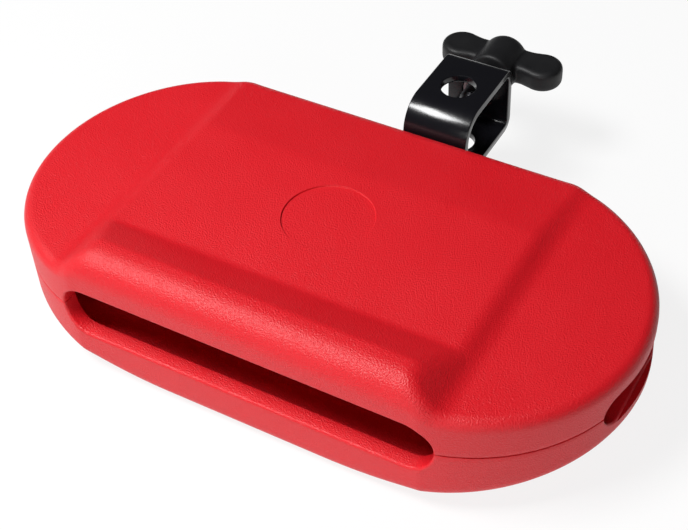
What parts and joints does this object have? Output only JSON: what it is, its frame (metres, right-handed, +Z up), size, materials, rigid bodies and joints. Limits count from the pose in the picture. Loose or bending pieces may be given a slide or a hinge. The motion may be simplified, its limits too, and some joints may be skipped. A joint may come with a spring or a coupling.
{
  "type": "percussion_block",
  "caption": "Red moulded plastic percussion block with long front slot and end slot, striking ridge, and a black bent steel rod clamp tightened by a wing bolt.",
  "frame": {"origin": "centre of the flat underside of the body", "axes": "+X along the body towards the end slot, +Y from the slotted front to the rod clamp, +Z up"},
  "size_m": [0.2, 0.163, 0.0456],
  "materials": {
    "red_moulding": "fine moulded grain",
    "black_coat": "glossy black coating",
    "dark_steel": "blackened steel",
    "zinc_steel": "zinc plated",
    "black_moulding": "satin moulding"
  },
  "bodies": {
    "block": {"upper_shell": "red_moulding", "lower_shell": "red_moulding", "clamp_bracket": "black_coat", "bracket_bolt_upper": "dark_steel", "bracket_bolt_lower": "dark_steel", "washer_upper": "zinc_steel", "washer_lower": "zinc_steel", "nut_upper": "zinc_steel", "nut_lower": "zinc_steel", "thread_bush": "zinc_steel"},
    "screw": {"wing_screw": "dark_steel"},
    "handle": {"wing_handle": "black_moulding"}
  },
  "joints": [
    {"name": "screw_travel", "type": "slide", "parent": "block", "child": "screw", "axis": [0, 1, 0], "range_m": [-0.0047, 0.01001]},
    {"name": "handle_turn", "type": "hinge", "parent": "screw", "child": "handle", "pos_m": [0.0088, 0.1025, 0.03235], "axis": [0, 1, 0], "range_deg": [-1350, 2880]}
  ],
  "couplings": [
    {"joint": "screw_travel", "follows": "handle_turn", "m_per_rad": 0.00019894}
  ]
}
